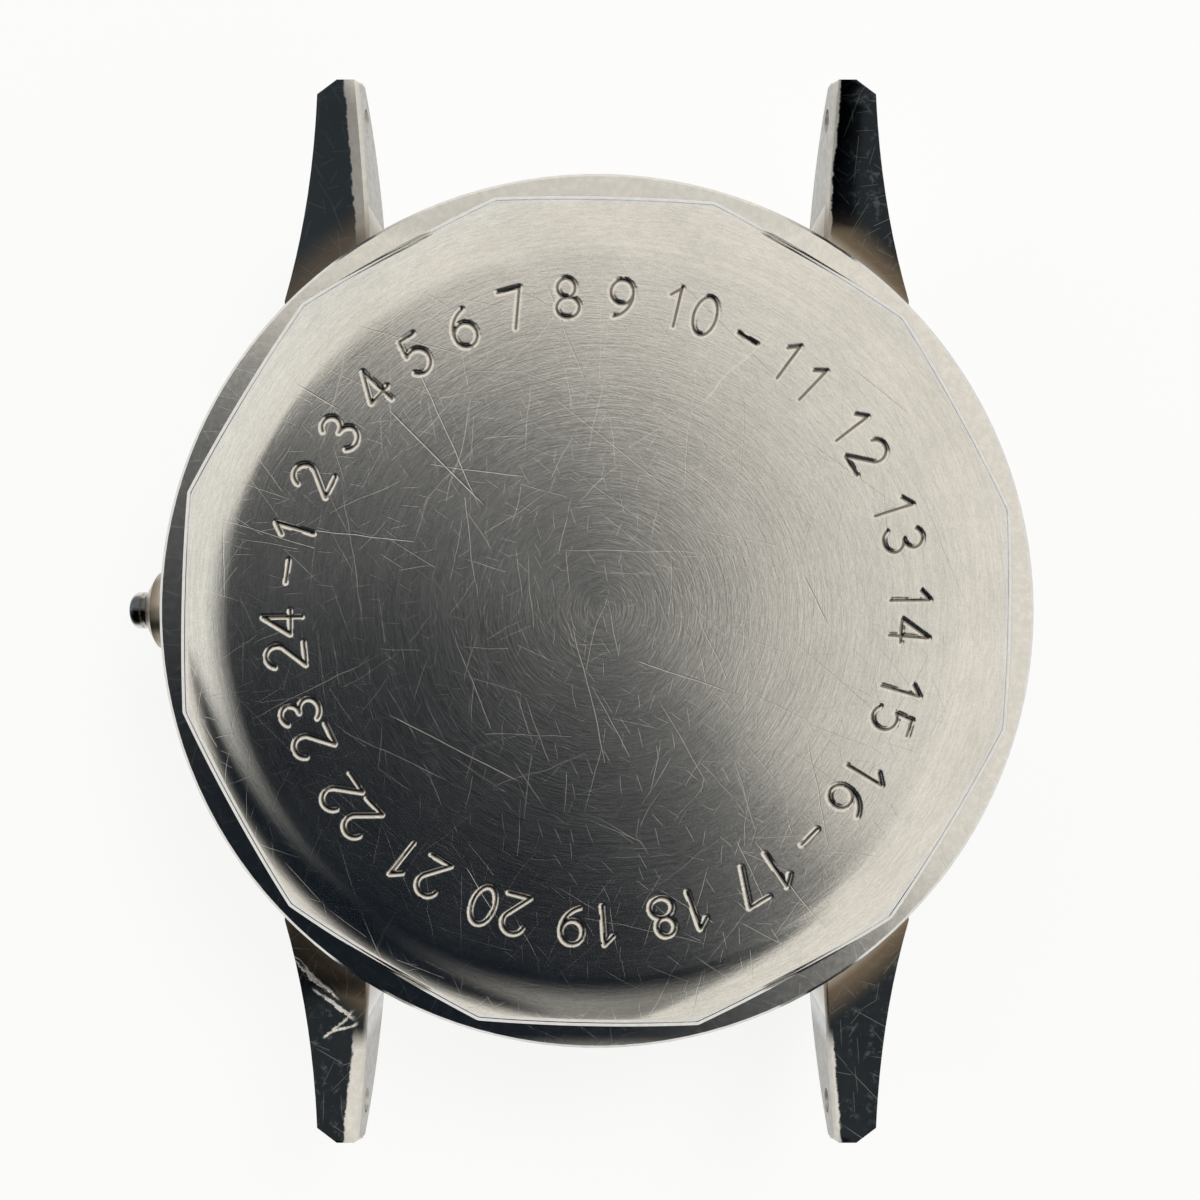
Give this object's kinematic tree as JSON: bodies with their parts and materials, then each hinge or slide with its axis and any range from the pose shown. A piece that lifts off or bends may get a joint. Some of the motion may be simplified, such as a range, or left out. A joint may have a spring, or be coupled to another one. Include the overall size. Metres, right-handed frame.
{
  "type": "watch case back",
  "caption": "Round steel watch head seen from its twelve sided screw back, with lugs, crystal and hand wound movement inside; the crown is missing.",
  "frame": {"origin": "centre of the crystal's flat outer face, which the head rests on", "axes": "+Z out of the back, +Y towards 12 o'clock, the winding stem on the -X side"},
  "size_m": [0.0357, 0.041, 0.01],
  "materials": {
    "case_steel": "polished and worn steel",
    "back_steel": "steel brushed in circles, scratched",
    "seal_rubber": "matte black rubber",
    "crystal_clear": "clear polished plastic glass",
    "ring_brass": "turned brass",
    "movement_brass": "nickel plated brass, striped",
    "wheel_brass": "gilt brass",
    "movement_steel": "ground steel",
    "blued_steel": "blued steel",
    "ruby": "polished ruby",
    "dial_paint": "satin cream paint",
    "balance_metal": "polished gilt alloy"
  },
  "bodies": {
    "head": {"case_middle": "case_steel", "lug_12_left": "case_steel", "lug_12_right": "case_steel", "lug_6_left": "case_steel", "lug_6_right": "case_steel", "crystal": "crystal_clear", "tension_ring": "ring_brass", "case_tube": "case_steel", "movement_ring": "ring_brass", "case_clamps": "movement_steel", "clamp_screws": "movement_steel", "dial": "dial_paint", "hour_markers": "ring_brass", "main_plate": "movement_brass", "barrel_bridge": "movement_brass", "train_bridge": "movement_brass", "pallet_bridge": "movement_brass", "balance_cock": "movement_brass", "bridge_screws": "movement_steel", "pallet_screws": "movement_steel", "jewels": "ruby", "crown_wheel_screw": "movement_steel", "click_spring": "movement_steel", "hairspring": "blued_steel"},
    "gasket": {"back_gasket": "seal_rubber"},
    "back": {"case_back": "back_steel"},
    "barrel": {"barrel": "wheel_brass", "barrel_cover": "wheel_brass", "mainspring": "movement_steel"},
    "arbor": {"barrel_arbor": "movement_steel", "ratchet_wheel": "movement_steel", "ratchet_screw": "movement_steel"},
    "crown_wheel": {"crown_wheel": "movement_steel"},
    "click": {"click": "movement_steel"},
    "centre": {"centre_wheel": "wheel_brass", "cannon_pinion": "movement_steel", "minute_hand": "blued_steel"},
    "third": {"third_wheel": "wheel_brass"},
    "fourth": {"fourth_wheel": "wheel_brass", "seconds_hand": "blued_steel"},
    "escape": {"escape_wheel": "movement_steel"},
    "pallet": {"pallet_fork": "movement_steel"},
    "balance": {"balance_wheel": "balance_metal"},
    "regulator": {"regulator": "movement_steel"},
    "hour": {"hour_wheel": "wheel_brass", "hour_hand": "blued_steel"},
    "minute_work": {"minute_wheel": "wheel_brass"},
    "setting_wheel": {"setting_wheel": "movement_steel"},
    "winding_pinion": {"winding_pinion": "movement_steel"},
    "clutch": {"sliding_clutch": "movement_steel"},
    "stem": {"winding_stem": "movement_steel"},
    "setting_lever": {"setting_lever": "movement_steel"},
    "yoke": {"yoke": "movement_steel"}
  },
  "joints": [
    {"name": "back_rise", "type": "slide", "parent": "head", "child": "gasket", "axis": [0, 0, 1], "range_m": [0, 0.0015]},
    {"name": "back_turn", "type": "hinge", "parent": "gasket", "child": "back", "pos_m": [0, 0, 0.008], "axis": [0, 0, 1], "range_deg": [0, 1080]},
    {"name": "seconds_turn", "type": "hinge", "parent": "head", "child": "fourth", "pos_m": [0, -0.0054, 0.0048], "axis": [0, 0, 1], "continuous": true},
    {"name": "third_turn", "type": "hinge", "parent": "head", "child": "third", "pos_m": [0.00297, -0.00313, 0.0053], "axis": [0, 0, 1], "continuous": true},
    {"name": "minute_turn", "type": "hinge", "parent": "head", "child": "centre", "pos_m": [0, 0, 0.00635], "axis": [0, 0, 1], "continuous": true},
    {"name": "barrel_turn", "type": "hinge", "parent": "head", "child": "barrel", "pos_m": [-0.00152, 0.00568, 0.00475], "axis": [0, 0, 1], "continuous": true},
    {"name": "escape_turn", "type": "hinge", "parent": "head", "child": "escape", "pos_m": [-0.003, -0.00367, 0.0052], "axis": [0, 0, 1], "continuous": true},
    {"name": "hour_turn", "type": "hinge", "parent": "head", "child": "hour", "pos_m": [0, 0, 0.0039], "axis": [0, 0, 1], "continuous": true},
    {"name": "minute_work_turn", "type": "hinge", "parent": "head", "child": "minute_work", "pos_m": [-0.0024, 0, 0.00413], "axis": [0, 0, 1], "continuous": true},
    {"name": "setting_wheel_turn", "type": "hinge", "parent": "head", "child": "setting_wheel", "pos_m": [-0.0053, 0, 0.00413], "axis": [0, 0, 1], "continuous": true},
    {"name": "pallet_rock", "type": "hinge", "parent": "head", "child": "pallet", "pos_m": [-0.00492, -0.00424, 0.0052], "axis": [0, 0, 1], "range_deg": [-5, 5]},
    {"name": "balance_swing", "type": "hinge", "parent": "head", "child": "balance", "pos_m": [-0.00688, -0.00483, 0.00585], "axis": [0, 0, 1], "range_deg": [-270, 270], "stiffness_Nm_per_rad": 0.00000003},
    {"name": "regulator_turn", "type": "hinge", "parent": "head", "child": "regulator", "pos_m": [-0.00688, -0.00483, 0.0074], "axis": [0, 0, 1], "range_deg": [-12, 12]},
    {"name": "stem_turn", "type": "hinge", "parent": "head", "child": "winding_pinion", "pos_m": [-0.0103, 0, 0.0056], "axis": [1, 0, 0], "continuous": true},
    {"name": "stem_pull", "type": "slide", "parent": "winding_pinion", "child": "stem", "axis": [-1, 0, 0], "range_m": [0, 0.0006]},
    {"name": "clutch_shift", "type": "slide", "parent": "winding_pinion", "child": "clutch", "axis": [1, 0, 0], "range_m": [0, 0.0006]},
    {"name": "setting_lever_turn", "type": "hinge", "parent": "head", "child": "setting_lever", "pos_m": [-0.0106, -0.0029, 0.00385], "axis": [0, 0, 1], "range_deg": [0, 11.86]},
    {"name": "yoke_turn", "type": "hinge", "parent": "head", "child": "yoke", "pos_m": [-0.0081, 0.0031, 0.00385], "axis": [0, 0, 1], "range_deg": [0, 11.09]},
    {"name": "crown_wheel_turn", "type": "hinge", "parent": "head", "child": "crown_wheel", "pos_m": [-0.00565, 0, 0.00705], "axis": [0, 0, 1], "continuous": true},
    {"name": "arbor_turn", "type": "hinge", "parent": "head", "child": "arbor", "pos_m": [-0.00152, 0.00568, 0.00705], "axis": [0, 0, 1], "continuous": true},
    {"name": "click_lift", "type": "hinge", "parent": "head", "child": "click", "pos_m": [-0.0065, 0.00656, 0.00705], "axis": [0, 0, 1], "range_deg": [0, 8], "stiffness_Nm_per_rad": 0.0001}
  ],
  "couplings": [
    {"joint": "back_rise", "follows": "back_turn", "m_per_rad": 0.000079577},
    {"joint": "third_turn", "follows": "seconds_turn", "ratio": -0.13333},
    {"joint": "minute_turn", "follows": "seconds_turn", "ratio": 0.016667},
    {"joint": "barrel_turn", "follows": "seconds_turn", "ratio": -0.0027778},
    {"joint": "escape_turn", "follows": "seconds_turn", "ratio": -10},
    {"joint": "minute_work_turn", "follows": "seconds_turn", "ratio": -0.0055556},
    {"joint": "hour_turn", "follows": "seconds_turn", "ratio": 0.0013889},
    {"joint": "setting_wheel_turn", "follows": "seconds_turn", "ratio": 0.0090909},
    {"joint": "clutch_shift", "follows": "stem_pull", "ratio": 1},
    {"joint": "setting_lever_turn", "follows": "stem_pull", "rad_per_m": 344.83},
    {"joint": "yoke_turn", "follows": "stem_pull", "rad_per_m": 322.58},
    {"joint": "crown_wheel_turn", "follows": "stem_turn", "ratio": 0.5},
    {"joint": "arbor_turn", "follows": "stem_turn", "ratio": -0.42857}
  ]
}
